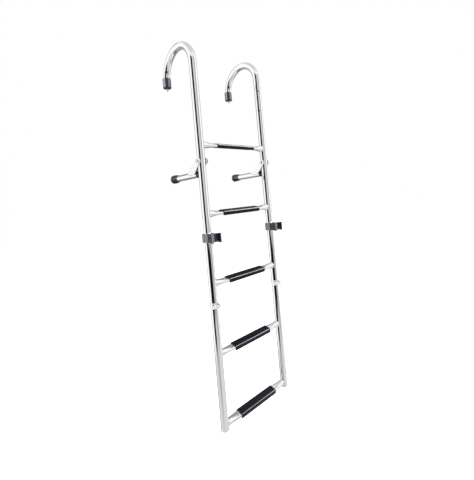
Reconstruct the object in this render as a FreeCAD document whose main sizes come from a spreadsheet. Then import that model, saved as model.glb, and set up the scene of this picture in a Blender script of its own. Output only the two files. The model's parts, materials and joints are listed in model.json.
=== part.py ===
import FreeCAD, Part
import math
import os
import Sketcher

# A folding five-step boat ladder that hooks over a gunwale.
# X runs from the left rail to the right rail, Y from the climber to the hull, Z up along the rails.
# The origin lies midway between the undersides of the two hooks' crowns.

doc = FreeCAD.newDocument("boat_ladder")

# Driving dimensions in millimetres and degrees
SIZES = [
    ("rail_outer", 25.4, "diameter of the rail tube"),
    ("rail_wall", 1.2, "wall of the rail tube"),
    ("rail_spacing", 290.0, "from rail axis to rail axis"),
    ("hook_radius", 86.0, "bend radius of the hook, on the tube axis"),
    ("hook_tail", 20.0, "straight tube below the bend of the hook"),
    ("crown_to_step", 350.0, "from the tube axis at the hook's crown down to the first step"),
    ("step_pitch", 222.0, "from step to step"),
    ("hinge_below_step", 67.0, "from the third step down to the fold"),
    ("foot_below_step", 17.0, "from the last step down to the cut ends of the rails"),
    ("step_outer", 22.0, "diameter of the step tube at its round ends"),
    ("step_wall", 1.2, "wall of the step tube"),
    ("press_width", 27.0, "width of the step tube where it is pressed flat"),
    ("press_height", 9.5, "height of the step tube where it is pressed flat"),
    ("press_length", 170.0, "length of the flat part"),
    ("press_run", 44.0, "length over which the tube turns from flat to round"),
    ("step_tilt", 12.0, "degrees that the steps tip down at the front, to lie level when the rails lean"),
    ("tread_length", 165.0, "length of the tread"),
    ("tread_wall", 2.0, "wall of the tread"),
    ("tread_lip", 2.5, "how far the tread turns in under the step tube"),
    ("rib_height", 0.8, "height of the ribs on the tread"),
    ("rib_width", 1.4, "width of a rib on the tread"),
    ("rib_count", 8.0, "number of ribs on the tread"),
    ("tread_round", 5.0, "radius of the tread's front and back edges"),
    ("cap_length", 34.0, "length of the cap on the hook end"),
    ("cap_wall", 1.3, "wall of the cap on the hook end"),
    ("cap_floor", 4.0, "closed end of the cap on the hook end"),
    ("cap_bevel", 2.0, "bevel round the closed end of the cap"),
    ("cap_nub", 3.0, "radius of the moulding nub under the cap"),
    ("clip_below_step", 75.0, "from the second step down to the middle of the clip"),
    ("clip_height", 28.0, "height of the clip along the rail"),
    ("clip_wall", 3.0, "wall of the clip"),
    ("clip_web", 18.0, "width of the block between the clip's two rings"),
    ("clip_mouth", 20.0, "width of the mouth of the ring that stays on the rail"),
    ("clip_lip", 7.0, "how far the lips stand out past the middle of their ring"),
    ("clip_flare", 2.5, "how far the lips turn outwards"),
    ("clip_lip_height", 30.0, "height of the front lips along the rail"),
    ("hinge_offset", 19.5, "from the rail axis forward to the hinge pin"),
    ("hinge_collar", 9.0, "height of each hinge collar"),
    ("collar_outer", 27.0, "diameter of the hinge collars"),
    ("hinge_plug", 22.0, "length of the hinge plug inside the rail"),
    ("eye_radius", 5.5, "outer radius of the hinge eyes"),
    ("tongue_width", 8.0, "width of the middle eye"),
    ("ear_width", 4.0, "width of each outer eye"),
    ("pin_diameter", 5.0, "diameter of the hinge pin"),
    ("pin_head", 8.0, "diameter of the heads of the hinge pin"),
    ("pin_head_height", 1.2, "height of the heads of the hinge pin"),
    ("bolt_below_step", 52.0, "from the first step down to the bolt of the stand-off"),
    ("bolt_diameter", 8.0, "diameter of the bolt of the stand-off"),
    ("arm_below_bolt", 40.0, "from the bolt down to the axis of the stand-off arm"),
    ("arm_outer", 22.0, "diameter of the stand-off arm"),
    ("arm_wall", 1.2, "wall of the stand-off arm"),
    ("arm_reach", 181.0, "from the rail axis to the end face of the rubber tip"),
    ("tip_outer", 30.0, "diameter of the rubber tip"),
    ("tip_length", 36.0, "length of the rubber tip"),
    ("tip_rim", 24.6, "diameter of the rubber tip where the arm goes in"),
    ("tip_foot", 9.0, "length of the cylindrical foot of the rubber tip"),
    ("tip_bevel", 2.0, "bevel round the foot of the rubber tip"),
    ("tip_floor", 8.0, "closed end of the rubber tip"),
    ("plate_wall", 2.5, "wall of the stand-off bracket"),
    ("bracket_start", 23.0, "from the rail axis to the near end of the bracket on the arm"),
    ("bracket_length", 37.0, "length of the bracket along the arm"),
    ("bracket_eye", 11.0, "radius of the bracket round the bolt"),
    ("head_radius", 7.2, "radius of the dome heads"),
    ("head_height", 4.2, "height of the dome heads"),
    ("thread_end", 3.0, "how far the bolt goes into its nut or knob"),
    ("nut_skirt", 1.9, "straight part of the nut and the knob below the dome"),
    ("knob_radius", 10.3, "radius of the black knob"),
    ("knob_height", 7.5, "height of the black knob"),
    ("foot_plug_depth", 18.0, "depth of the plugs in the cut ends of the rails"),
    ("button_diameter", 4.5, "diameter of the two buttons on the right rail"),
    ("button_height", 1.5, "how far the buttons stand out"),
    ("button_first", 144.0, "from the first step up to the lower button"),
    ("button_gap", 75.0, "between the two buttons"),
    ("button_turn", 39.0, "degrees from the front of the rail round to the buttons"),
    ("weld_gap", 0.2, "gap left at a coped and welded joint"),
    ("seat_gap", 0.1, "gap left where one piece sits round another"),
    ("running_gap", 0.05, "radial gap of a pin in the eye that turns on it"),
    ("swing_gap", 0.6, "gap beside the pieces that swing"),
]

sheet = doc.addObject("Spreadsheet::Sheet", "sizes")
for row, (alias, value, meaning) in enumerate(SIZES, start=1):
    sheet.set(f"A{row}", alias)
    sheet.set(f"B{row}", str(value))
    sheet.set(f"C{row}", meaning)
    sheet.setAlias(f"B{row}", alias)
doc.recompute()

# Places and sizes that follow from the driving dimensions
RAIL_RADIUS = "sizes.rail_outer / 2"
RAIL_BORE = "(sizes.rail_outer - 2 * sizes.rail_wall)"
RAIL_Y = "-sizes.hook_radius"
CROWN = "sizes.rail_outer / 2"
SPRING = f"({CROWN} - sizes.hook_radius)"
HOOK_END = f"({SPRING} - sizes.hook_tail)"
STEP_COUNT = 5
UPPER_STEP_COUNT = 3


def step_level(number):
    return f"({CROWN} - sizes.crown_to_step - {number - 1} * sizes.step_pitch)"


HINGE_LEVEL = f"({step_level(UPPER_STEP_COUNT)} - sizes.hinge_below_step)"
FOOT_LEVEL = f"({step_level(STEP_COUNT)} - sizes.foot_below_step)"
CLIP_LEVEL = f"({step_level(2)} - sizes.clip_below_step)"
BOLT_LEVEL = f"({step_level(1)} - sizes.bolt_below_step)"
ARM_START = f"({RAIL_RADIUS} + sizes.seat_gap)"
PLATE_INSIDE = f"({RAIL_RADIUS} + sizes.swing_gap)"
PLATE_OUTSIDE = f"({PLATE_INSIDE} + sizes.plate_wall)"
SIDES = {"left": "-1", "right": "1"}

sub_parts = []


def value_of(expression):
    """The number that an expression gives now."""
    return float(sheet.evalExpression(expression))


def new_body(label, x="0", y="0", z="0"):
    """A sub-part's body, placed by three expressions."""
    body = doc.addObject("PartDesign::Body", label)
    body.Label = label
    for axis, expression in zip("xyz", (x, y, z)):
        body.setExpression(f"Placement.Base.{axis}", expression)
    sub_parts.append(body)
    return body


def new_sketch(body, role, offset="0", turn="0"):
    """A sketch on one of the body's origin planes, moved along the plane's normal and turned about it."""
    sketch = body.newObject("Sketcher::SketchObject", f"{body.Name}_sketch")
    plane = next(item for item in body.Origin.OriginFeatures if item.Role == role)
    sketch.AttachmentSupport = (plane, [""])
    sketch.MapMode = "FlatFace"
    sketch.setExpression("AttachmentOffset.Base.z", offset)
    sketch.setExpression("AttachmentOffset.Rotation.Angle", turn)
    return sketch


def tie(sketch, kind, *where, to):
    """A constraint whose value follows an expression."""
    index = sketch.addConstraint(Sketcher.Constraint(kind, *where, value_of(to)))
    sketch.setExpression(f"Constraints[{index}]", to)


def place_point(sketch, geometry, point, x, y):
    """Hold a point of the sketch at two expressions from the sketch's origin."""
    tie(sketch, "DistanceX", -1, 1, geometry, point, to=x)
    tie(sketch, "DistanceY", -1, 1, geometry, point, to=y)


def add_circle(sketch, diameter, x="0", y="0"):
    centre = FreeCAD.Vector(value_of(x), value_of(y), 0)
    normal = FreeCAD.Vector(0, 0, 1)
    circle = sketch.addGeometry(Part.Circle(centre, normal, value_of(diameter) / 2))
    tie(sketch, "Diameter", circle, to=diameter)
    place_point(sketch, circle, 3, x, y)


def arc_centre(start, end, radius, turn):
    """The centre of the smaller arc between two points; turn is 1 for counter-clockwise, -1 for clockwise."""
    chord = end - start
    rise = math.sqrt(radius ** 2 - chord.Length ** 2 / 4)
    across = FreeCAD.Vector(-chord.y, chord.x, 0) / chord.Length
    return (start + end) / 2 + across * rise * turn


def add_outline(sketch, corners):
    """A closed outline through corners given as pairs of expressions.

    Where a radius and a turn follow the pair, an arc leads to the next corner, and else a straight edge.
    """
    points = [FreeCAD.Vector(value_of(corner[0]), value_of(corner[1]), 0) for corner in corners]
    edges = []
    for corner, start, end in zip(corners, points, points[1:] + points[:1]):
        if len(corner) == 2:
            edges.append((sketch.addGeometry(Part.LineSegment(start, end)), 1, 2))
            continue
        radius, turn = value_of(corner[2]), corner[3]
        centre = arc_centre(start, end, radius, turn)
        first, last = (start, end) if turn > 0 else (end, start)
        angles = [math.atan2(point.y - centre.y, point.x - centre.x) for point in (first, last)]
        circle = Part.Circle(centre, FreeCAD.Vector(0, 0, 1), radius)
        edge = sketch.addGeometry(Part.ArcOfCircle(circle, *angles))
        edges.append((edge, 1, 2) if turn > 0 else (edge, 2, 1))
    for (edge, _, end), (following, start, _) in zip(edges, edges[1:] + edges[:1]):
        sketch.addConstraint(Sketcher.Constraint("Coincident", edge, end, following, start))
    for (edge, start, _), corner in zip(edges, corners):
        place_point(sketch, edge, start, corner[0], corner[1])
        if len(corner) > 2:
            tie(sketch, "Radius", edge, to=corner[2])


def add_slot(sketch, width, height):
    """A flat oval about the sketch's origin: two straight edges joined by half rounds."""
    half_flat = (value_of(width) - value_of(height)) / 2
    radius = value_of(height) / 2
    normal = FreeCAD.Vector(0, 0, 1)
    quarter = math.pi / 2
    top = sketch.addGeometry(Part.LineSegment(
        FreeCAD.Vector(half_flat, radius, 0), FreeCAD.Vector(-half_flat, radius, 0)))
    left = sketch.addGeometry(Part.ArcOfCircle(
        Part.Circle(FreeCAD.Vector(-half_flat, 0, 0), normal, radius), quarter, 3 * quarter))
    bottom = sketch.addGeometry(Part.LineSegment(
        FreeCAD.Vector(-half_flat, -radius, 0), FreeCAD.Vector(half_flat, -radius, 0)))
    right = sketch.addGeometry(Part.ArcOfCircle(
        Part.Circle(FreeCAD.Vector(half_flat, 0, 0), normal, radius), -quarter, quarter))
    for edge, following in ((top, left), (left, bottom), (bottom, right), (right, top)):
        sketch.addConstraint(Sketcher.Constraint("Tangent", edge, 2, following, 1))
    place_point(sketch, left, 3, f"-({width} - {height}) / 2", "0")
    place_point(sketch, right, 3, f"({width} - {height}) / 2", "0")
    tie(sketch, "Radius", left, to=f"{height} / 2")


def pad(body, sketch, length, both_ways=False, reverse=False):
    feature = body.newObject("PartDesign::Pad", f"{body.Name}_pad")
    feature.Profile = sketch
    feature.setExpression("Length", length)
    feature.SideType = "Symmetric" if both_ways else "One side"
    feature.Reversed = reverse
    return feature


def pocket(body, sketch, length=None, reverse=False):
    """A pocket of a given depth, or right through both ways."""
    feature = body.newObject("PartDesign::Pocket", f"{body.Name}_pocket")
    feature.Profile = sketch
    if length is None:
        feature.Type = "ThroughAll"
        feature.SideType = "Symmetric"
    else:
        feature.setExpression("Length", length)
        feature.Reversed = reverse
    return feature


def revolve(body, sketch, axis="V_Axis"):
    feature = body.newObject("PartDesign::Revolution", f"{body.Name}_turn")
    feature.Profile = sketch
    feature.ReferenceAxis = (sketch, [axis])
    feature.Angle = 360
    return feature


def rail_x(side):
    return f"{SIDES[side]} * sizes.rail_spacing / 2"


# Upper rails

def make_upper_rail(side):
    """The rail tube, straight from the fold up to the hook, then bent over through half a turn."""
    body = new_body(f"upper_rail_{side}", rail_x(side), RAIL_Y)
    start = f"({HINGE_LEVEL} + sizes.hinge_collar)"
    path = new_sketch(body, "YZ_Plane")
    radius = value_of("sizes.hook_radius")
    spring = value_of(SPRING)
    arc_circle = Part.Circle(FreeCAD.Vector(radius, spring, 0), FreeCAD.Vector(0, 0, 1), radius)
    bend = path.addGeometry(Part.ArcOfCircle(arc_circle, 0, math.pi))
    rise = path.addGeometry(Part.LineSegment(
        FreeCAD.Vector(0, value_of(start), 0), FreeCAD.Vector(0, spring, 0)))
    tail = path.addGeometry(Part.LineSegment(
        FreeCAD.Vector(2 * radius, spring, 0), FreeCAD.Vector(2 * radius, value_of(HOOK_END), 0)))
    path.addConstraint(Sketcher.Constraint("Tangent", rise, 2, bend, 2))
    path.addConstraint(Sketcher.Constraint("Tangent", bend, 1, tail, 1))
    path.addConstraint(Sketcher.Constraint("Vertical", tail))
    place_point(path, rise, 1, "0", start)
    place_point(path, bend, 3, "sizes.hook_radius", SPRING)
    tie(path, "DistanceY", -1, 1, tail, 2, to=HOOK_END)
    ring = new_sketch(body, "XY_Plane", start)
    add_circle(ring, "sizes.rail_outer")
    add_circle(ring, RAIL_BORE)
    tube = body.newObject("PartDesign::AdditivePipe", f"{body.Name}_pipe")
    tube.Profile = ring
    tube.Spine = (path, [])
    bolt_hole = new_sketch(body, "YZ_Plane")
    add_circle(bolt_hole, "(sizes.bolt_diameter + 2 * sizes.seat_gap)", "0", BOLT_LEVEL)
    pocket(body, bolt_hole)


def make_hook_cap(side):
    """A rubber cap pushed over the end of the hook, rounded below, with a small moulding nub.

    Its bore widens upwards, because the cap reaches past the straight tail onto the bend.
    """
    body = new_body(f"hook_cap_{side}", rail_x(side), "sizes.hook_radius", HOOK_END)
    profile = new_sketch(body, "XZ_Plane")
    floor = "(-sizes.cap_floor)"
    top = "(sizes.cap_length - sizes.cap_floor)"
    on_bend = f"max(0; {top} - sizes.hook_tail)"
    lean = f"(sizes.hook_radius - sqrt(sizes.hook_radius * sizes.hook_radius - {on_bend} * {on_bend}))"
    inner = f"({RAIL_RADIUS} + sizes.seat_gap)"
    mouth = f"({inner} + {lean} + sizes.seat_gap)"
    outer = f"({mouth} + sizes.cap_wall)"
    add_outline(profile, [
        ("0", f"{floor} - sizes.cap_nub / 2"), ("sizes.cap_nub", f"{floor} - sizes.cap_nub / 2"),
        ("sizes.cap_nub", floor), (f"{outer} - sizes.cap_bevel", floor, "sizes.cap_bevel", 1),
        (outer, f"{floor} + sizes.cap_bevel"), (outer, f"{top} - sizes.cap_wall / 2"),
        (f"{outer} - sizes.cap_wall / 2", top), (mouth, top), (inner, "-sizes.seat_gap"),
        ("0", "-sizes.seat_gap")])
    revolve(body, profile)


# Steps

def make_step_tube(number):
    """A tube between the rails, pressed flat and tipped in the middle, and coped to the rails at its ends."""
    body = new_body(f"step_tube_{number}", "0", RAIL_Y, step_level(number))
    tilt = "sizes.step_tilt"
    half_flat = "(sizes.press_length / 2)"
    round_start = f"({half_flat} + sizes.press_run)"
    bore_width = "(sizes.press_width - 2 * sizes.step_wall)"
    bore_height = "(sizes.press_height - 2 * sizes.step_wall)"
    bore = "(sizes.step_outer - 2 * sizes.step_wall)"
    flat = new_sketch(body, "YZ_Plane", turn=tilt)
    add_slot(flat, "sizes.press_width", "sizes.press_height")
    pad(body, flat, "sizes.press_length", both_ways=True)
    for sign in ("", "-"):
        oval = new_sketch(body, "YZ_Plane", f"{sign}{half_flat}", tilt)
        add_slot(oval, "sizes.press_width", "sizes.press_height")
        circle = new_sketch(body, "YZ_Plane", f"{sign}{round_start}", tilt)
        add_circle(circle, "sizes.step_outer")
        loft = body.newObject("PartDesign::AdditiveLoft", f"{body.Name}_loft")
        loft.Profile = oval
        loft.Sections = [circle]
        end = new_sketch(body, "YZ_Plane", f"{sign}{round_start}")
        add_circle(end, "sizes.step_outer")
        pad(body, end, f"(sizes.rail_spacing / 2 - {round_start})", reverse=sign == "-")
    hollow = new_sketch(body, "YZ_Plane", turn=tilt)
    add_slot(hollow, bore_width, bore_height)
    inside = pocket(body, hollow, "sizes.press_length")
    inside.SideType = "Symmetric"
    for sign in ("", "-"):
        oval = new_sketch(body, "YZ_Plane", f"{sign}{half_flat}", tilt)
        add_slot(oval, bore_width, bore_height)
        circle = new_sketch(body, "YZ_Plane", f"{sign}{round_start}", tilt)
        add_circle(circle, bore)
        loft = body.newObject("PartDesign::SubtractiveLoft", f"{body.Name}_bore_loft")
        loft.Profile = oval
        loft.Sections = [circle]
        end = new_sketch(body, "YZ_Plane", f"{sign}{round_start}")
        add_circle(end, bore)
        pocket(body, end, f"(sizes.rail_spacing / 2 - {round_start})", reverse=sign == "")
    cope = new_sketch(body, "XY_Plane")
    for sign in ("", "-"):
        add_circle(cope, "(sizes.rail_outer + 2 * sizes.weld_gap)", f"{sign}sizes.rail_spacing / 2")
    pocket(body, cope)


def make_tread(number):
    """A black cover over the flat of the step, with skirts front and back and ribs on top."""
    body = new_body(f"tread_{number}", "0", RAIL_Y, step_level(number))
    body.Placement.Rotation = FreeCAD.Rotation(FreeCAD.Vector(1, 0, 0), value_of("sizes.step_tilt"))
    body.setExpression("Placement.Rotation.Angle", "sizes.step_tilt")
    inside_y = "(sizes.press_width / 2 + sizes.seat_gap)"
    inside_z = "(sizes.press_height / 2 + sizes.seat_gap)"
    outside_y = f"({inside_y} + sizes.tread_wall)"
    outside_z = f"({inside_z} + sizes.tread_wall)"
    lip_y = f"({inside_y} - sizes.tread_lip)"
    outer_round = "sizes.tread_round"
    inner_round = "(sizes.tread_round - sizes.tread_wall)"
    section = new_sketch(body, "YZ_Plane")
    add_outline(section, [
        (f"-{outside_y}", f"{outside_z} - {outer_round}"), (f"-{outside_y}", f"-{outside_z}"),
        (f"-{lip_y}", f"-{outside_z}"), (f"-{lip_y}", f"-{inside_z}"),
        (f"-{inside_y}", f"-{inside_z}"), (f"-{inside_y}", f"{inside_z} - {inner_round}", inner_round, -1),
        (f"-{inside_y} + {inner_round}", inside_z),
        (f"{inside_y} - {inner_round}", inside_z, inner_round, -1),
        (inside_y, f"{inside_z} - {inner_round}"), (inside_y, f"-{inside_z}"),
        (lip_y, f"-{inside_z}"), (lip_y, f"-{outside_z}"),
        (outside_y, f"-{outside_z}"), (outside_y, f"{outside_z} - {outer_round}", outer_round, 1),
        (f"{outside_y} - {outer_round}", outside_z),
        (f"-{outside_y} + {outer_round}", outside_z, outer_round, 1)])
    pad(body, section, "sizes.tread_length", both_ways=True)
    rib = new_sketch(body, "YZ_Plane")
    first_rib = f"({outer_round} - {outside_y})"
    rib_end = f"({first_rib} + sizes.rib_width)"
    rib_foot = f"({outside_z} - sizes.rib_height)"
    rib_top = f"({outside_z} + sizes.rib_height)"
    add_outline(rib, [(first_rib, rib_foot), (rib_end, rib_foot), (rib_end, rib_top), (first_rib, rib_top)])
    first = pad(body, rib, "sizes.tread_length", both_ways=True)
    ribs = body.newObject("PartDesign::LinearPattern", f"{body.Name}_ribs")
    ribs.Originals = [first]
    ribs.Direction = (rib, ["H_Axis"])
    ribs.setExpression("Length", f"-2 * {first_rib} - sizes.rib_width")
    ribs.setExpression("Occurrences", "sizes.rib_count")
    body.Tip = ribs


# Clips that catch the folded lower rails

def make_rail_clip(side):
    """Two open rings joined by a block: the rear one grips its rail, the front one takes the folded rail."""
    body = new_body(f"rail_clip_{side}", rail_x(side), RAIL_Y, CLIP_LEVEL)
    front = "(-2 * sizes.hinge_offset)"
    snug_bore = "(sizes.rail_outer + 2 * sizes.seat_gap)"
    easy_bore = "(sizes.rail_outer + 2 * sizes.swing_gap)"
    web = new_sketch(body, "XY_Plane")
    add_outline(web, [
        ("-sizes.clip_web / 2", "0"), ("-sizes.clip_web / 2", front),
        ("sizes.clip_web / 2", front), ("sizes.clip_web / 2", "0")])
    pad(body, web, "sizes.clip_height", both_ways=True)
    holders = (
        ("0", "1", snug_bore, "sizes.clip_mouth", "sizes.clip_height"),
        (front, "(-1)", easy_bore, easy_bore, "sizes.clip_lip_height"))
    for centre, way, bore, _, lip_height in holders:
        outer = f"({bore} / 2 + sizes.clip_wall)"
        ring = new_sketch(body, "XY_Plane")
        add_circle(ring, f"2 * {outer}", "0", centre)
        pad(body, ring, "sizes.clip_height", both_ways=True)
        tip = f"{centre} + {way} * sizes.clip_lip"
        for hand in ("1", "(-1)"):
            lip = new_sketch(body, "XY_Plane")
            add_outline(lip, [
                (f"{hand} * {bore} / 2", centre), (f"{hand} * {outer}", centre),
                (f"{hand} * ({outer} + sizes.clip_flare)", tip),
                (f"{hand} * ({bore} / 2 + sizes.clip_flare)", tip)])
            pad(body, lip, lip_height, both_ways=True)
    for centre, way, bore, mouth_width, _ in holders:
        hole = new_sketch(body, "XY_Plane")
        add_circle(hole, bore, "0", centre)
        pocket(body, hole)
        mouth = new_sketch(body, "XY_Plane")
        beyond = f"{centre} + {way} * sizes.rail_outer"
        add_outline(mouth, [
            (f"-{mouth_width} / 2", centre), (f"{mouth_width} / 2", centre),
            (f"{mouth_width} / 2", beyond), (f"-{mouth_width} / 2", beyond)])
        pocket(body, mouth)


# Hinges

def make_hinge(side, upper):
    """A plug in the rail, a collar that closes the rail, and the eye or eyes in front of it."""
    label = "upper" if upper else "lower"
    up = "" if upper else "-"
    body = new_body(f"hinge_{label}_{side}", rail_x(side), RAIL_Y, HINGE_LEVEL)
    collar = new_sketch(body, "XY_Plane")
    add_circle(collar, "sizes.collar_outer")
    pad(body, collar, "sizes.hinge_collar", reverse=not upper)
    plug = new_sketch(body, "XY_Plane")
    add_circle(plug, f"({RAIL_BORE} - 2 * sizes.seat_gap)")
    pad(body, plug, "(sizes.hinge_collar + sizes.hinge_plug)", reverse=not upper)
    slot_width = "(sizes.tongue_width + 2 * sizes.seat_gap)"
    width = f"({slot_width} + 2 * sizes.ear_width)" if upper else "sizes.tongue_width"
    root = "(-sizes.collar_outer / 4)"
    arm = new_sketch(body, "YZ_Plane")
    add_outline(arm, [
        ("-sizes.hinge_offset", f"{up}sizes.seat_gap"), (root, f"{up}sizes.seat_gap"),
        (root, f"{up}sizes.hinge_collar"), ("-sizes.hinge_offset", f"{up}sizes.eye_radius")])
    pad(body, arm, width, both_ways=True)
    eye = new_sketch(body, "YZ_Plane")
    add_circle(eye, "2 * sizes.eye_radius", "-sizes.hinge_offset", "0")
    pad(body, eye, width, both_ways=True)
    if upper:
        slot = new_sketch(body, "YZ_Plane")
        front = "-(sizes.hinge_offset + 2 * sizes.eye_radius)"
        back = "-(sizes.collar_outer / 2 - sizes.seat_gap)"
        height = "(sizes.hinge_collar + sizes.eye_radius)"
        add_outline(slot, [(front, f"-{height}"), (back, f"-{height}"), (back, height), (front, height)])
        gap = pocket(body, slot, slot_width)
        gap.SideType = "Symmetric"
    bore = new_sketch(body, "YZ_Plane")
    fit = "sizes.seat_gap / 2" if upper else "sizes.running_gap"
    add_circle(bore, f"(sizes.pin_diameter + 2 * {fit})", "-sizes.hinge_offset", "0")
    pocket(body, bore)


def make_hinge_pin(side):
    """A rivet pin through the three eyes, with a low head at each end."""
    body = new_body(f"hinge_pin_{side}", rail_x(side), f"{RAIL_Y} - sizes.hinge_offset", HINGE_LEVEL)
    eye_end = "(sizes.tongue_width / 2 + sizes.ear_width + 2 * sizes.seat_gap)"
    head_end = f"({eye_end} + sizes.pin_head_height)"
    radius = "(sizes.pin_diameter / 2)"
    head = "(sizes.pin_head / 2)"
    profile = new_sketch(body, "XZ_Plane")
    add_outline(profile, [
        (f"-{head_end}", "0"), (f"-{head_end}", radius), (f"-{eye_end}", head), (f"-{eye_end}", radius),
        (eye_end, radius), (eye_end, head), (head_end, radius), (head_end, "0")])
    revolve(body, profile, "H_Axis")


# Lower rails

def make_lower_rail(side):
    body = new_body(f"lower_rail_{side}", rail_x(side), RAIL_Y, FOOT_LEVEL)
    ring = new_sketch(body, "XY_Plane")
    add_circle(ring, "sizes.rail_outer")
    add_circle(ring, RAIL_BORE)
    pad(body, ring, f"({HINGE_LEVEL} - sizes.hinge_collar - {FOOT_LEVEL})")


def make_foot_plug(side):
    """A black plug in the cut end of the rail."""
    body = new_body(f"foot_plug_{side}", rail_x(side), RAIL_Y, FOOT_LEVEL)
    profile = new_sketch(body, "XZ_Plane")
    radius = f"({RAIL_BORE} / 2 - sizes.seat_gap)"
    add_outline(profile, [
        ("0", "0"), (radius, "0"), (radius, "sizes.foot_plug_depth"), ("0", "sizes.foot_plug_depth")])
    revolve(body, profile)


# Stand-off arms

def make_standoff(side):
    """A tube arm on a bracket that turns about the bolt, with a rubber tip and an inner plug."""
    middle = f"({BOLT_LEVEL} - sizes.arm_below_bolt)"
    tip_start = "(sizes.arm_reach - sizes.tip_length)"
    tube_end = "(sizes.arm_reach - sizes.tip_floor)"
    tube_start = "sizes.bracket_start"
    arm = new_body(f"standoff_tube_{side}", rail_x(side), RAIL_Y, middle)
    ring = new_sketch(arm, "XZ_Plane", f"-{tube_start}")
    add_circle(ring, "sizes.arm_outer")
    add_circle(ring, "(sizes.arm_outer - 2 * sizes.arm_wall)")
    pad(arm, ring, f"({tube_end} - {tube_start})", reverse=True)
    tip = new_body(f"standoff_tip_{side}", rail_x(side), RAIL_Y, middle)
    profile = new_sketch(tip, "YZ_Plane")
    inner = "(sizes.arm_outer / 2 + sizes.seat_gap)"
    floor = f"({tube_end} + sizes.seat_gap)"
    foot_start = "(sizes.arm_reach - sizes.tip_foot)"
    bevel = "sizes.tip_bevel"
    add_outline(profile, [
        (tip_start, inner), (tip_start, "sizes.tip_rim / 2"), (foot_start, f"sizes.tip_outer / 2 - {bevel}"),
        (foot_start, "sizes.tip_outer / 2"), (f"sizes.arm_reach - {bevel}", "sizes.tip_outer / 2", bevel, -1),
        ("sizes.arm_reach", f"sizes.tip_outer / 2 - {bevel}"), ("sizes.arm_reach", "0"), (floor, "0"),
        (floor, inner)])
    revolve(tip, profile, "H_Axis")
    plug = new_body(f"standoff_plug_{side}", rail_x(side), RAIL_Y, middle)
    profile = new_sketch(plug, "YZ_Plane")
    stem = "(sizes.arm_outer / 2 - sizes.arm_wall - sizes.seat_gap)"
    shoulder = f"({tube_start} - sizes.seat_gap)"
    add_outline(profile, [
        (ARM_START, "0"), (ARM_START, "sizes.arm_outer / 2"), (shoulder, "sizes.arm_outer / 2"),
        (shoulder, stem), (f"{shoulder} + sizes.arm_outer", stem), (f"{shoulder} + sizes.arm_outer", "0")])
    revolve(plug, profile, "H_Axis")


def make_bracket(side):
    """A channel of plate round the rail: two cheeks, a sloping back and a saddle on the arm."""
    body = new_body(f"standoff_bracket_{side}", rail_x(side), RAIL_Y, BOLT_LEVEL)
    arm_z = "-sizes.arm_below_bolt"
    start = "sizes.bracket_start"
    end = "(sizes.bracket_start + sizes.bracket_length)"
    cheeks = new_sketch(body, "YZ_Plane")
    eye_corner = "sizes.bracket_eye / sqrt(2)"
    add_outline(cheeks, [
        (f"-{eye_corner}", f"-{eye_corner}"), (eye_corner, eye_corner),
        (end, f"{arm_z} + sizes.arm_outer / 2"), (end, arm_z), (start, arm_z)])
    pad(body, cheeks, f"2 * {PLATE_OUTSIDE}", both_ways=True)
    eye = new_sketch(body, "YZ_Plane")
    add_circle(eye, "2 * sizes.bracket_eye")
    pad(body, eye, f"2 * {PLATE_OUTSIDE}", both_ways=True)
    inside = new_sketch(body, "YZ_Plane")
    slant_wall = "sqrt(2) * sizes.plate_wall"
    add_outline(inside, [
        ("-2 * sizes.bracket_eye", "2 * sizes.bracket_eye"),
        ("-2 * sizes.bracket_eye", f"2 * {arm_z}"),
        (f"({end} - {slant_wall})", f"2 * {arm_z}"),
        (f"({end} - {slant_wall})", f"{arm_z} + sizes.arm_outer / 2"),
        (f"({RAIL_RADIUS} + 2 * sizes.plate_wall)", f"-({RAIL_RADIUS} + sizes.swing_gap)"),
        (f"2 * {end}", f"-({RAIL_RADIUS} + sizes.swing_gap)"),
        (f"2 * {end}", "2 * sizes.bracket_eye")])
    slot = pocket(body, inside, f"2 * {PLATE_INSIDE}")
    slot.SideType = "Symmetric"
    saddle = new_sketch(body, "XZ_Plane", f"-{start}")
    add_circle(saddle, f"2 * {PLATE_OUTSIDE}", "0", arm_z)
    pad(body, saddle, "sizes.bracket_length", reverse=True)
    below = new_sketch(body, "YZ_Plane")
    add_outline(below, [
        ("0", arm_z), (f"2 * {end}", arm_z), (f"2 * {end}", f"2 * {arm_z}"), ("0", f"2 * {arm_z}")])
    pocket(body, below)
    seat = new_sketch(body, "XZ_Plane")
    add_circle(seat, "(sizes.arm_outer + 2 * sizes.weld_gap)", "0", arm_z)
    pocket(body, seat)
    hole = new_sketch(body, "YZ_Plane")
    add_circle(hole, "(sizes.bolt_diameter + 2 * sizes.running_gap)")
    pocket(body, hole)


def dome_radius(radius, height):
    """The radius of the sphere that a dome of this radius and height is cut from."""
    return f"(({radius} * {radius} + {height} * {height}) / (2 * {height}))"


def make_pivot_bolt(side):
    """A dome head bolt through the rail and both cheeks, its head on the left."""
    body = new_body(f"pivot_bolt_{side}", rail_x(side), RAIL_Y, BOLT_LEVEL)
    profile = new_sketch(body, "XZ_Plane")
    seat = f"({PLATE_OUTSIDE} + sizes.seat_gap)"
    radius = "(sizes.bolt_diameter / 2)"
    shank_end = f"({seat} + sizes.thread_end)"
    dome = dome_radius("sizes.head_radius", "sizes.head_height")
    add_outline(profile, [
        (f"-{seat}", radius), (f"-{seat}", "sizes.head_radius", dome, 1),
        (f"-({seat} + sizes.head_height)", "0"), (shank_end, "0"), (shank_end, radius)])
    revolve(body, profile, "H_Axis")


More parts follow.
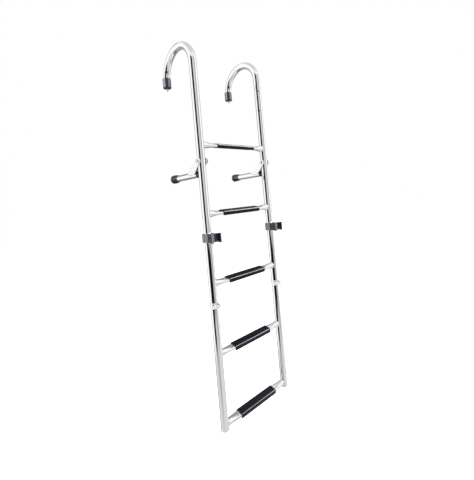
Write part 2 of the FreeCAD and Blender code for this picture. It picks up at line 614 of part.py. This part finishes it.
def make_pivot_nut(side, label, nut_radius, nut_height):
    """The domed nut or knob on the right end of the bolt."""
    body = new_body(f"{label}_{side}", rail_x(side), RAIL_Y, BOLT_LEVEL)
    profile = new_sketch(body, "XZ_Plane")
    seat = f"({PLATE_OUTSIDE} + sizes.seat_gap)"
    radius = "(sizes.bolt_diameter / 2 + sizes.seat_gap)"
    shank_end = f"({seat} + sizes.thread_end + sizes.seat_gap)"
    dome = dome_radius(nut_radius, f"({nut_height} - sizes.nut_skirt)")
    add_outline(profile, [
        (seat, radius), (shank_end, radius), (shank_end, "0"), (f"({seat} + {nut_height})", "0", dome, 1),
        (f"({seat} + sizes.nut_skirt)", nut_radius), (seat, nut_radius)])
    revolve(body, profile, "H_Axis")


def make_rail_buttons():
    """Two small buttons on the front of the right rail, turned towards the left, above the first step."""
    body = new_body("rail_buttons_right", rail_x("right"), RAIL_Y, step_level(1))
    body.Placement.Rotation = FreeCAD.Rotation(FreeCAD.Vector(0, 0, 1), 0)
    body.setExpression("Placement.Rotation.Angle", "-sizes.button_turn")
    for rise in ("sizes.button_first", "(sizes.button_first + sizes.button_gap)"):
        face = new_sketch(body, "XZ_Plane", f"({RAIL_RADIUS} + sizes.weld_gap)")
        add_circle(face, "sizes.button_diameter", "0", rise)
        pad(body, face, "sizes.button_height")


for side in SIDES:
    make_upper_rail(side)
    make_hook_cap(side)
    make_rail_clip(side)
    make_hinge(side, upper=True)
    make_hinge(side, upper=False)
    make_hinge_pin(side)
    make_lower_rail(side)
    make_foot_plug(side)
    make_standoff(side)
    make_bracket(side)
    make_pivot_bolt(side)
for number in range(1, STEP_COUNT + 1):
    make_step_tube(number)
    make_tread(number)
make_pivot_nut("left", "pivot_knob", "sizes.knob_radius", "sizes.knob_height")
make_pivot_nut("right", "pivot_nut", "sizes.head_radius", "(2 * sizes.head_height)")
make_rail_buttons()

doc.recompute()

for item in doc.Objects:
    if "Invalid" in item.State or "Error" in item.State:
        raise RuntimeError(f"{item.Label} could not be built: {item.State}")

os.makedirs("parts", exist_ok=True)
for sub_part in sub_parts:
    shape = sub_part.Shape
    if shape.isNull() or not shape.isValid():
        raise RuntimeError(f"{sub_part.Label} has no valid shape")
    shape.exportStep(f"parts/{sub_part.Label}.step")
    print(sub_part.Label, len(shape.Solids), round(shape.Volume))
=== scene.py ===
import json
import math

import bmesh
import bpy
from mathutils import Matrix, Vector


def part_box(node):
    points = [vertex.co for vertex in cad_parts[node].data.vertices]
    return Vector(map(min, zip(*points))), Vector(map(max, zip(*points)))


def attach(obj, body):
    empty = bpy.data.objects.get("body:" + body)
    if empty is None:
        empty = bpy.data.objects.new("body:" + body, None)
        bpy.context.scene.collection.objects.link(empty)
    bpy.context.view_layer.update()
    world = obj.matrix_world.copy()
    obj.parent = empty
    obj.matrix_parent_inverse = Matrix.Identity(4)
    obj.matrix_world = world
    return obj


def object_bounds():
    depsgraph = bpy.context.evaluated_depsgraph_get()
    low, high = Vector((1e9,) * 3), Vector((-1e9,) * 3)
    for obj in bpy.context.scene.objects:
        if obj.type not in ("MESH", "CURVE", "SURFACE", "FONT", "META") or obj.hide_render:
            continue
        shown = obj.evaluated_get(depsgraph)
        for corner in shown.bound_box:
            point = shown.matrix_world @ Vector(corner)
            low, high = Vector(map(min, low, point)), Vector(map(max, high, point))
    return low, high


# A folding boat ladder of polished tube with black treads, on white.
# Metres throughout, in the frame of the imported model: X across the rails, Y towards the hull, Z up.
# Azimuths are in degrees from the front (-Y) towards +X, and elevations in degrees above the level.

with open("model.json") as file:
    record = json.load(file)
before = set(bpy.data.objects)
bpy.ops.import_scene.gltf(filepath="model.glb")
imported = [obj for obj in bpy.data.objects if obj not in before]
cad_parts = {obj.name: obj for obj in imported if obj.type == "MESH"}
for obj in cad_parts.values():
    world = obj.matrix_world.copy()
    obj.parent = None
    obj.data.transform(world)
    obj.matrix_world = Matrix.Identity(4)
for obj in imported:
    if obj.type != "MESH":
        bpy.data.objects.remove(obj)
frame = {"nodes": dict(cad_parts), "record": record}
cad_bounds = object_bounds()
MM = 0.001

# Camera, in metres, degrees and pixels of the 474 x 480 photograph
IMAGE_SIZE = (474, 480)
CAMERA_AZIMUTH = -41.337
CAMERA_ELEVATION = -0.532
CAMERA_ROLL = -5.132
CAMERA_DISTANCE = 1.09304
TARGET_ALONG_RIGHT = 0.050945
TARGET_HEIGHT = -0.511896
FOCAL_PIXELS = 293.265
HORIZON_PIXEL = 196.97
SENSOR_WIDTH = 36.0
CLIP_START = 0.05
CLIP_END = 100.0

# The floor, well below the feet, because the ladder hangs from its hooks
FLOOR_DROP = 0.35
FLOOR_HALF_SIZE = 14.0
FLOOR_GLOW = 0.9
FLOOR_GREY = 0.75

# What reflects shows a studio of cards before a bright white, each card over those before it: name,
# azimuth of its middle, half its width, low and high elevation, light, and width of its soft edge.
# What scatters is lit by a plain grey from all round.
STUDIO_WHITE = 1.12
CARDS = [
    ("ceiling", 0, 200, 54, 120, 0.70, 34),
    ("floor", -44, 116, -100, -27, 0.76, 5),
    ("backdrop edge", 147, 54, -25, 48, 0.36, 6),
    ("floor at the back", 143, 60, -65, -22, 0.28, 8),
    ("pale wall", -21, 27, -30, 46, 0.72, 6),
    ("door", 17, 11, -27, 42, 0.31, 6),
    ("wall foot", 42, 14, -27, -4, 0.62, 6),
    ("dark room foot", -50, 22, -36, -26, 0.46, 8),
    ("dark room", -66, 24, -27, 40, 0.010, 5),
    ("dark corner", -49, 41, -21, -8, 0.008, 5),
]
STUDIO_GREY = 0.62

# Soft square lamps, which no piece mirrors: name, place, width and power
SOFT_LAMPS = [
    ("key", (-1.9, -2.4, 1.1), 1.8, 60),
    ("fill", (2.4, -1.6, 0.2), 1.8, 25),
    ("top", (0.0, 0.6, 2.4), 2.2, 45),
]
LAMPS_AIM = Vector((0, 0, -0.6))

# Softboxes that show in some pieces alone, because mirror tube would show them as bare white: name,
# azimuth and elevation, width and height in degrees, light, and how the names of their pieces begin
SOFTBOXES = [
    ("cap_softbox_left", -108, 18, 62, 60, 5.2, ("hook_cap", "standoff_tip", "tip_ribs")),
    ("cap_softbox_right", 30, 22, 64, 50, 3.4, ("hook_cap", "standoff_tip", "tip_ribs")),
    ("clip_softbox_left", -83, 5, 76, 60, 4.5, ("rail_clip", "rail_buttons")),
    ("clip_softbox_right", 24, 5, 56, 60, 5.5, ("rail_clip",)),
    ("tread_softbox", 67, 37, 40, 42, 24.0, ("tread_",)),
    ("hinge_softbox", -57, 5, 66, 70, 0.75, ("hinge_", "standoff_bracket")),
]
SOFTBOX_DISTANCE = 4.0
# Power that an area lamp needs for each square metre of it and each unit of light that it shows
AREA_LAMP_POWER = 4.0

# Finishes. A noise is given as its scale, for a metre of the piece, and its detail, and most of it lies
# between NOISE_LOW and NOISE_HIGH. Clouds turn a colour to a share of itself.
NOISE_LOW = 0.3
NOISE_HIGH = 0.7
POLISH_CLOUDS = (60.0, 5.0)
POLISH_SCRATCHES = (900.0, 2.0)
SCRATCH_STRETCH = (1, 1, 0.06)
SCRATCH_SHARE = 0.4
POLISH_WAVES = (220.0, 2.0)
WAVE_DEPTH = 0.2 * MM
CLOUDED_STEEL = 0.96
MOULDED_CLOUDS = (45.0, 5.0)
CLOUDED_PLASTIC = 1.35
GRAIN_DETAIL = 3.0
GRAIN_STRENGTH = 0.35
COOL_TINT = (0.82, 0.85, 1.0, 1)

# A mix node's sockets for colours, which share their names with its sockets for other data
MIX_COLOUR_A = 6
MIX_COLOUR_B = 7
MIX_COLOUR_RESULT = 2

# The ladder's pieces
SIDES = {"left": -1, "right": 1}
UPPER_BODY = "upper_section"
LOWER_BODY = "lower_section"
STEP_COUNT = 5
UPPER_STEP_COUNT = 3

# Weld beads, with ripples along them
WELD_RADIUS = 1.15 * MM
WELD_PITCH = 1.7 * MM
WELD_RIPPLE = 0.16
POINTS_PER_RIPPLE = 6
BEAD_SIDES = 8
BEAD_CREASE = 80
STEP_END_RADIUS = 11.0 * MM

# The stand-offs' welds start in front of the arm's inner end, stop short of the bracket's outer end,
# lie beside the arm and a little below its middle, and thin out at their ends
BRACKET_WELD_START = 4.0 * MM
BRACKET_WELD_STOP = 2.0 * MM
BRACKET_WELD_OUT = 0.6 * WELD_RADIUS
BRACKET_WELD_DOWN = 0.5 * WELD_RADIUS
WELD_END_SHARE = 0.4

# A low round screw head, from under the surface over its edge to the floor of its hexagonal socket:
# height and radius of each ring as shares of the head's own, and whether the ring is hexagonal
SCREW_PROFILE = [
    (-0.3, 1.0, False),
    (0.45, 1.0, False),
    (0.8, 0.9, False),
    (1.0, 0.7, False),
    (1.0, 0.48, True),
    (0.1, 0.48, True),
]
TURNED_SIDES = 24
SCREW_CREASE = 30
COLLAR_SCREW_RADIUS = 2.1 * MM
COLLAR_SCREW_HEIGHT = 0.5 * MM
COLLAR_SCREW_AZIMUTH = -45
CLIP_SCREW_RADIUS = 2.4 * MM
CLIP_SCREW_HEIGHT = 1.5 * MM
CLIP_SCREW_FORWARD = 19.0 * MM
CLIP_WEB_HALF = 9.0 * MM

# The stud under a hook cap: a short neck that starts inside the cap, then a wider pin with a dome
STUD_RADIUS = 3.3 * MM
STUD_LENGTH = 10.5 * MM
STUD_SUNK = 0.3 * MM
STUD_NECK_RADIUS = 0.8 * STUD_RADIUS
STUD_NECK_LENGTH = 0.6 * MM
STUD_SHOULDER = 1.0 * MM
STUD_DOME_RINGS = 8
STUD_DOME_END = 85
STUD_CREASE = 40

# Ribs of a stand-off's tip, which widens from its inner end to its straight foot
TIP_RIB_COUNT = 3
TIP_RIB_RADIUS = 0.55 * MM
TIP_RIB_POINTS = 64
TIP_WIDENING = 2.7 * MM
TIP_FOOT = 9.0 * MM

# Every piece by name, which the softboxes look through
PIECES = {}


def toward(azimuth, elevation=0):
    """The unit vector that points in a direction."""
    turn = math.radians(azimuth)
    rise = math.radians(elevation)
    return Vector((math.sin(turn) * math.cos(rise), -math.cos(turn) * math.cos(rise), math.sin(rise)))


def add_to_scene(name, data):
    added = bpy.data.objects.new(name, data)
    bpy.context.scene.collection.objects.link(added)
    return added


def make_camera():
    """The photograph's viewpoint, with its horizon above the middle of the picture."""
    back = toward(CAMERA_AZIMUTH, CAMERA_ELEVATION)
    level_right = toward(CAMERA_AZIMUTH + 90)
    level_up = back.cross(level_right)
    roll = math.radians(CAMERA_ROLL)
    right = math.cos(roll) * level_right + math.sin(roll) * level_up
    up = math.cos(roll) * level_up - math.sin(roll) * level_right
    data = bpy.data.cameras.new("camera")
    data.sensor_width = SENSOR_WIDTH
    data.lens = SENSOR_WIDTH * FOCAL_PIXELS / max(IMAGE_SIZE)
    data.shift_y = (HORIZON_PIXEL - IMAGE_SIZE[1] / 2) / max(IMAGE_SIZE)
    data.clip_start = CLIP_START
    data.clip_end = CLIP_END
    camera = add_to_scene("camera", data)
    target = TARGET_ALONG_RIGHT * level_right + Vector((0, 0, TARGET_HEIGHT))
    turn = Matrix((right, up, back)).transposed().to_4x4()
    camera.matrix_world = Matrix.Translation(target + CAMERA_DISTANCE * back) @ turn
    bpy.context.scene.camera = camera


class Nodes:
    """Makes and links the nodes of one tree."""

    def __init__(self, tree):
        self.tree = tree

    def add(self, kind, *inputs, **settings):
        """A node whose first inputs are given in order, as numbers or as other nodes' outputs."""
        node = self.tree.nodes.new(kind)
        for name, value in settings.items():
            setattr(node, name, value)
        for socket, value in zip(node.inputs, inputs):
            self.put(socket, value)
        return node

    def put(self, socket, value):
        if isinstance(value, bpy.types.NodeSocket):
            self.tree.links.new(value, socket)
        else:
            socket.default_value = value

    def math(self, operation, *inputs):
        return self.add("ShaderNodeMath", *inputs, operation=operation).outputs[0]

    def step_up(self, value, low, high, start=0.0, end=1.0):
        """Goes smoothly from start to end while the value goes from low to high."""
        return self.add("ShaderNodeMapRange", value, low, high, start, end,
                        interpolation_type="SMOOTHSTEP").outputs[0]

    def mix(self, share, first, second):
        """A colour between two others."""
        node = self.add("ShaderNodeMix", data_type="RGBA")
        self.put(node.inputs["Factor"], share)
        self.put(node.inputs[MIX_COLOUR_A], first)
        self.put(node.inputs[MIX_COLOUR_B], second)
        return node.outputs[MIX_COLOUR_RESULT]

    def noise(self, scale, detail, stretch=(1, 1, 1)):
        """A noise over the object's own coordinates."""
        place = self.add("ShaderNodeTexCoord").outputs["Object"]
        mapping = self.add("ShaderNodeMapping", place)
        self.put(mapping.inputs["Scale"], stretch)
        texture = self.add("ShaderNodeTexNoise", mapping.outputs[0])
        self.put(texture.inputs["Scale"], scale)
        self.put(texture.inputs["Detail"], detail)
        return texture.outputs[0]

    def bump(self, height, strength, distance):
        node = self.add("ShaderNodeBump")
        self.put(node.inputs["Strength"], strength)
        self.put(node.inputs["Distance"], distance)
        self.put(node.inputs["Height"], height)
        return node.outputs[0]


def grey(value):
    return (value, value, value, 1)


def make_world():
    """White to the camera, cards to what reflects, and a plain grey light on the rest."""
    world = bpy.data.worlds.new("studio")
    bpy.context.scene.world = world
    world.use_nodes = True
    world.node_tree.nodes.clear()
    nodes = Nodes(world.node_tree)
    direction = nodes.add("ShaderNodeTexCoord").outputs["Generated"]
    x, y, z = nodes.add("ShaderNodeSeparateXYZ", direction).outputs
    azimuth = nodes.math("DEGREES", nodes.math("ARCTAN2", x, nodes.math("MULTIPLY", y, -1.0)))
    elevation = nodes.math("DEGREES", nodes.math("ARCSINE", z))
    shown = grey(STUDIO_WHITE)
    for _, middle, half, low, high, light, edge in CARDS:
        turned_away = nodes.math("WRAP", nodes.math("SUBTRACT", azimuth, middle), 180.0, -180.0)
        off = nodes.math("ABSOLUTE", turned_away)
        beside = nodes.step_up(off, half - edge / 2, half + edge / 2, 1.0, 0.0)
        above = nodes.step_up(elevation, low - edge / 2, low + edge / 2)
        below = nodes.step_up(elevation, high - edge / 2, high + edge / 2, 1.0, 0.0)
        inside = nodes.math("MULTIPLY", beside, nodes.math("MULTIPLY", above, below))
        shown = nodes.mix(inside, shown, grey(light))
    path = nodes.add("ShaderNodeLightPath").outputs
    colour = nodes.mix(path["Is Glossy Ray"], grey(STUDIO_GREY), shown)
    colour = nodes.mix(path["Is Camera Ray"], colour, grey(1))
    background = nodes.add("ShaderNodeBackground", colour, 1.0)
    nodes.add("ShaderNodeOutputWorld", background.outputs[0])


def make_floor():
    """A pale floor that glows white to the camera, with the ladder's soft shadow on it."""
    level = cad_bounds[0].z - FLOOR_DROP
    square = ((-1, -1), (1, -1), (1, 1), (-1, 1))
    corners = [(x * FLOOR_HALF_SIZE, y * FLOOR_HALF_SIZE, level) for x, y in square]
    mesh = bpy.data.meshes.new("floor")
    mesh.from_pydata(corners, [], [(0, 1, 2, 3)])
    material = bpy.data.materials.new("floor")
    material.use_nodes = True
    material.node_tree.nodes.clear()
    nodes = Nodes(material.node_tree)
    seen = nodes.add("ShaderNodeLightPath").outputs["Is Camera Ray"]
    glow = nodes.add("ShaderNodeEmission", grey(1), nodes.math("MULTIPLY", seen, FLOOR_GLOW))
    matt = nodes.add("ShaderNodeBsdfDiffuse", grey(FLOOR_GREY))
    both = nodes.add("ShaderNodeAddShader", glow.outputs[0], matt.outputs[0])
    nodes.add("ShaderNodeOutputMaterial", both.outputs[0])
    mesh.materials.append(material)
    floor = add_to_scene("floor", mesh)
    floor.visible_glossy = False


def make_lamp(name, place, width, height, power):
    """An area lamp that faces the ladder and that the camera doesn't see."""
    data = bpy.data.lights.new(name, "AREA")
    data.shape = "RECTANGLE"
    data.size = width
    data.size_y = height
    data.energy = power
    lamp = add_to_scene(name, data)
    lamp.location = place
    lamp.rotation_euler = (place - LAMPS_AIM).to_track_quat("Z", "Y").to_euler()
    lamp.visible_camera = False
    return lamp


def make_soft_lamps():
    for name, place, width, power in SOFT_LAMPS:
        lamp = make_lamp(name, Vector(place), width, width, power)
        lamp.visible_glossy = False


def make_softboxes():
    """Comes after every piece, because each softbox is tied to the pieces that it shows in."""
    for name, azimuth, elevation, wide, tall, light, beginnings in SOFTBOXES:
        place = LAMPS_AIM + SOFTBOX_DISTANCE * toward(azimuth, elevation)
        width = 2 * SOFTBOX_DISTANCE * math.tan(math.radians(wide / 2))
        height = 2 * SOFTBOX_DISTANCE * math.tan(math.radians(tall / 2))
        lamp = make_lamp(name, place, width, height, AREA_LAMP_POWER * light * width * height)
        lamp.visible_diffuse = False
        receivers = bpy.data.collections.new(name)
        for piece_name, piece in PIECES.items():
            if piece_name.startswith(beginnings):
                receivers.objects.link(piece)
        lamp.light_linking.receiver_collection = receivers


def new_material(name):
    material = bpy.data.materials.new(name)
    material.use_nodes = True
    return material, Nodes(material.node_tree), material.node_tree.nodes["Principled BSDF"].inputs


def clouded(nodes, cloud, colour, share):
    """A colour that goes to a share of itself, darker or paler, where the clouds are."""
    return nodes.mix(cloud, (*colour, 1), (*[channel * share for channel in colour], 1))


def polished(name, colour, roughness, spread, ripple):
    """Polished stainless steel: faint cloudy wiping marks in the gloss and a very slight waviness."""
    material, nodes, inputs = new_material(name)
    cloud = nodes.noise(*POLISH_CLOUDS)
    scratches = nodes.noise(*POLISH_SCRATCHES, SCRATCH_STRETCH)
    cloud_part = nodes.math("MULTIPLY", cloud, 1 - SCRATCH_SHARE)
    scratch_part = nodes.math("MULTIPLY", scratches, SCRATCH_SHARE)
    marks = nodes.math("ADD", cloud_part, scratch_part)
    uneven = nodes.step_up(marks, NOISE_LOW, NOISE_HIGH, roughness, roughness + spread)
    nodes.put(inputs["Metallic"], 1.0)
    nodes.put(inputs["Roughness"], uneven)
    nodes.put(inputs["Base Color"], clouded(nodes, cloud, colour, CLOUDED_STEEL))
    nodes.put(inputs["Normal"], nodes.bump(nodes.noise(*POLISH_WAVES), ripple, WAVE_DEPTH))
    return material


def moulded(name, colour, roughness, spread, gloss, grain, depth):
    """Moulded rubber or plastic: fine grain, slightly uneven gloss and colour."""
    material, nodes, inputs = new_material(name)
    cloud = nodes.noise(*MOULDED_CLOUDS)
    uneven = nodes.step_up(cloud, NOISE_LOW, NOISE_HIGH, roughness, roughness + spread)
    nodes.put(inputs["Roughness"], uneven)
    nodes.put(inputs["Base Color"], clouded(nodes, cloud, colour, CLOUDED_PLASTIC))
    nodes.put(inputs["Specular IOR Level"], gloss)
    nodes.put(inputs["Specular Tint"], COOL_TINT)
    nodes.put(inputs["Normal"], nodes.bump(nodes.noise(grain, GRAIN_DETAIL), GRAIN_STRENGTH, depth))
    return material


MATERIALS = {
    "polished_tube": polished(
        "mirror_tube", (0.90, 0.905, 0.915), roughness=0.03, spread=0.03, ripple=0.01),
    "polished_fitting": polished(
        "mirror_fitting", (0.93, 0.935, 0.94), roughness=0.34, spread=0.08, ripple=0.03),
    "black_rubber": moulded(
        "soft_black", (0.008, 0.008, 0.012), roughness=0.24, spread=0.08, gloss=0.6,
        grain=2600.0, depth=0.04 * MM),
    "black_plastic": moulded(
        "hard_black", (0.006, 0.006, 0.009), roughness=0.18, spread=0.06, gloss=0.6,
        grain=1900.0, depth=0.03 * MM),
    "tread_plastic": moulded(
        "ribbed_black", (0.003, 0.003, 0.005), roughness=0.20, spread=0.06, gloss=0.20,
        grain=1500.0, depth=0.03 * MM),
    "button_plastic": moulded(
        "dark_blue", (0.012, 0.020, 0.085), roughness=0.22, spread=0.06, gloss=0.5,
        grain=2200.0, depth=0.03 * MM),
}


def dress_nodes():
    """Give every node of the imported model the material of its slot."""
    for row in frame["record"]["subparts"]:
        node = frame["nodes"][row["node"]]
        for slot in node.material_slots:
            slot.material = MATERIALS[row["material_slot"]]
        PIECES[row["node"]] = node


def make_piece(name, body, slot, skin, crease):
    """A new piece that rides on a body, smooth apart from edges sharper than the crease in degrees."""
    points, faces = skin
    mesh = bpy.data.meshes.new(name)
    mesh.from_pydata(points, [], faces)
    shell = bmesh.new()
    shell.from_mesh(mesh)
    bmesh.ops.recalc_face_normals(shell, faces=shell.faces)
    shell.to_mesh(mesh)
    shell.free()
    mesh.polygons.foreach_set("use_smooth", [True] * len(mesh.polygons))
    mesh.set_sharp_from_angle(angle=math.radians(crease))
    mesh.materials.append(MATERIALS[slot])
    piece = add_to_scene(name, mesh)
    PIECES[name] = piece
    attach(piece, body)


def middle_of(name):
    low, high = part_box(name)
    return (low + high) / 2


def full_turn(count):
    """Angles evenly round a full turn."""
    return [2 * math.pi * i / count for i in range(count)]


def loft(rings, closed):
    """Points and faces of a skin over rings of equal count, with end caps unless the rings close up."""
    sides = len(rings[0])
    points = [point for ring in rings for point in ring]
    faces = []
    spans = len(rings) if closed else len(rings) - 1
    for i in range(spans):
        here = i * sides
        there = (i + 1) % len(rings) * sides
        for j in range(sides):
            k = (j + 1) % sides
            faces.append((here + j, here + k, there + k, there + j))
    if not closed:
        faces.append(tuple(range(sides)))
        faces.append(tuple(range(len(points) - sides, len(points))))
    return points, faces


def joined(skins):
    """Points and faces of several skins as those of one."""
    points = []
    faces = []
    for skin_points, skin_faces in skins:
        faces += [tuple(len(points) + k for k in face) for face in skin_faces]
        points += skin_points
    return points, faces


def bead(path, radii, reference, closed):
    """A round bead along a path, with a radius at each of its points."""
    rings = []
    count = len(path)
    for i, (middle, radius) in enumerate(zip(path, radii)):
        before = path[(i - 1) % count] if closed or i else middle
        after = path[(i + 1) % count] if closed or i < count - 1 else middle
        along = (after - before).normalized()
        across = along.cross(reference).normalized()
        up = across.cross(along)
        rings.append([middle + radius * (math.cos(turn) * across + math.sin(turn) * up)
                      for turn in full_turn(BEAD_SIDES)])
    return loft(rings, closed)


def turned(place, axis, profile):
    """A skin turned about an axis: distance along it, radius, and whether hexagonal, for each ring."""
    across = axis.orthogonal().normalized()
    up = axis.cross(across)
    half_flat = math.pi / 6
    rings = []
    for along, radius, hexagonal in profile:
        ring = []
        for turn in full_turn(TURNED_SIDES):
            off = (turn + half_flat) % (2 * half_flat) - half_flat
            reach = radius / math.cos(off) if hexagonal else radius
            ring.append(place + along * axis + reach * (math.cos(turn) * across + math.sin(turn) * up))
        rings.append(ring)
    return loft(rings, False)


def rippled(count, length):
    """Radii of a weld bead with the ripples of its pitch."""
    ripples = max(1, round(length / WELD_PITCH))
    return [WELD_RADIUS * (1 + WELD_RIPPLE * math.cos(ripples * turn)) for turn in full_turn(count)]


def weld_steps():
    """The bead round the coped end of each step, where it meets the rail."""
    length = 2 * math.pi * STEP_END_RADIUS
    count = POINTS_PER_RIPPLE * round(length / WELD_PITCH)
    for side, sign in SIDES.items():
        rail_low, rail_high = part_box(f"lower_rail_{side}")
        rail = (rail_low + rail_high) / 2
        rail_radius = (rail_high.x - rail_low.x) / 2
        for step in range(1, STEP_COUNT + 1):
            level = middle_of(f"step_tube_{step}").z
            path = []
            for turn in full_turn(count):
                y = STEP_END_RADIUS * math.cos(turn)
                z = STEP_END_RADIUS * math.sin(turn)
                reach = math.sqrt(rail_radius ** 2 - y ** 2)
                path.append(Vector((rail.x - sign * reach, rail.y + y, level + z)))
            body = UPPER_BODY if step <= UPPER_STEP_COUNT else LOWER_BODY
            skin = bead(path, rippled(count, length), Vector((1, 0, 0)), True)
            make_piece(f"weld_step_{step}_{side}", body, "polished_fitting", skin, BEAD_CREASE)


def weld_brackets():
    """Two beads along the lower edges of each stand-off's bracket, against its arm."""
    for side in SIDES:
        arm_low, arm_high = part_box(f"standoff_tube_{side}")
        arm = (arm_low + arm_high) / 2
        arm_radius = (arm_high.z - arm_low.z) / 2
        start = arm_low.y + BRACKET_WELD_START
        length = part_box(f"standoff_bracket_{side}")[1].y - BRACKET_WELD_STOP - start
        spans = POINTS_PER_RIPPLE * round(length / WELD_PITCH)
        radii = rippled(spans + 1, length)
        radii[0] *= WELD_END_SHARE
        radii[-1] *= WELD_END_SHARE
        beads = []
        for sign in SIDES.values():
            x = arm.x + sign * (arm_radius + BRACKET_WELD_OUT)
            z = arm.z - BRACKET_WELD_DOWN
            path = [Vector((x, start + length * i / spans, z)) for i in range(spans + 1)]
            beads.append(bead(path, radii, Vector((0, 0, 1)), False))
        make_piece(f"weld_bracket_{side}", f"standoff_{side}", "polished_fitting",
                   joined(beads), BEAD_CREASE)


def socket_screw(name, place, axis, radius, height):
    """A black socket screw on the upper section, with its head out along the axis."""
    profile = [(high * height, wide * radius, hexagonal) for high, wide, hexagonal in SCREW_PROFILE]
    make_piece(name, UPPER_BODY, "black_plastic", turned(place, axis, profile), SCREW_CREASE)


def screw_collars():
    """A set screw in the upper collar of each hinge, on the same side of both."""
    out = toward(COLLAR_SCREW_AZIMUTH)
    for side in SIDES:
        rail = middle_of(f"lower_rail_{side}")
        collar_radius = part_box(f"hinge_upper_{side}")[1].y - rail.y
        collar_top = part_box(f"upper_rail_{side}")[0].z
        collar_foot = (collar_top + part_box(f"lower_rail_{side}")[1].z) / 2
        level = (collar_foot + collar_top) / 2
        place = Vector((rail.x, rail.y, level)) + collar_radius * out
        socket_screw(f"set_screw_{side}", place, out, COLLAR_SCREW_RADIUS, COLLAR_SCREW_HEIGHT)


def screw_clips():
    """A screw through the web of each double clip, with a head on both faces."""
    for side in SIDES:
        rail = middle_of(f"lower_rail_{side}")
        level = middle_of(f"rail_clip_{side}").z
        for face, sign in SIDES.items():
            place = Vector((rail.x + sign * CLIP_WEB_HALF, rail.y - CLIP_SCREW_FORWARD, level))
            socket_screw(f"clip_screw_{side}_{face}", place, Vector((sign, 0, 0)),
                         CLIP_SCREW_RADIUS, CLIP_SCREW_HEIGHT)


def stud_caps():
    """A bright domed stud under each hook cap."""
    dome = STUD_LENGTH - STUD_RADIUS
    profile = [
        (-STUD_SUNK, STUD_NECK_RADIUS, False),
        (STUD_NECK_LENGTH, STUD_NECK_RADIUS, False),
        (STUD_SHOULDER, STUD_RADIUS, False),
    ]
    for i in range(STUD_DOME_RINGS):
        turn = math.radians(STUD_DOME_END) * i / (STUD_DOME_RINGS - 1)
        profile.append((dome + STUD_RADIUS * math.sin(turn), STUD_RADIUS * math.cos(turn), False))
    for side in SIDES:
        place = middle_of(f"hook_cap_{side}")
        place.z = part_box(f"hook_cap_{side}")[0].z
        skin = turned(place, Vector((0, 0, -1)), profile)
        make_piece(f"cap_stud_{side}", UPPER_BODY, "polished_fitting", skin, STUD_CREASE)


def rib_tips():
    """Fine ribs round the widening side of each stand-off's rubber tip."""
    for side in SIDES:
        low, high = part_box(f"standoff_tip_{side}")
        arm = middle_of(f"standoff_tube_{side}")
        narrow = (high.x - low.x) / 2 - TIP_WIDENING
        widening_length = high.y - low.y - TIP_FOOT
        ribs = []
        for i in range(TIP_RIB_COUNT):
            share = (i + 1) / (TIP_RIB_COUNT + 1)
            y = low.y + share * widening_length
            radius = narrow + share * TIP_WIDENING
            path = [Vector((arm.x + radius * math.cos(turn), y, arm.z + radius * math.sin(turn)))
                    for turn in full_turn(TIP_RIB_POINTS)]
            ribs.append(bead(path, [TIP_RIB_RADIUS] * TIP_RIB_POINTS, Vector((0, 1, 0)), True))
        make_piece(f"tip_ribs_{side}", f"standoff_{side}", "black_rubber", joined(ribs), BEAD_CREASE)


make_camera()
make_world()
make_floor()
dress_nodes()
weld_steps()
weld_brackets()
screw_collars()
screw_clips()
stud_caps()
rib_tips()
make_soft_lamps()
make_softboxes()

bpy.context.scene.view_settings.view_transform = "Standard"
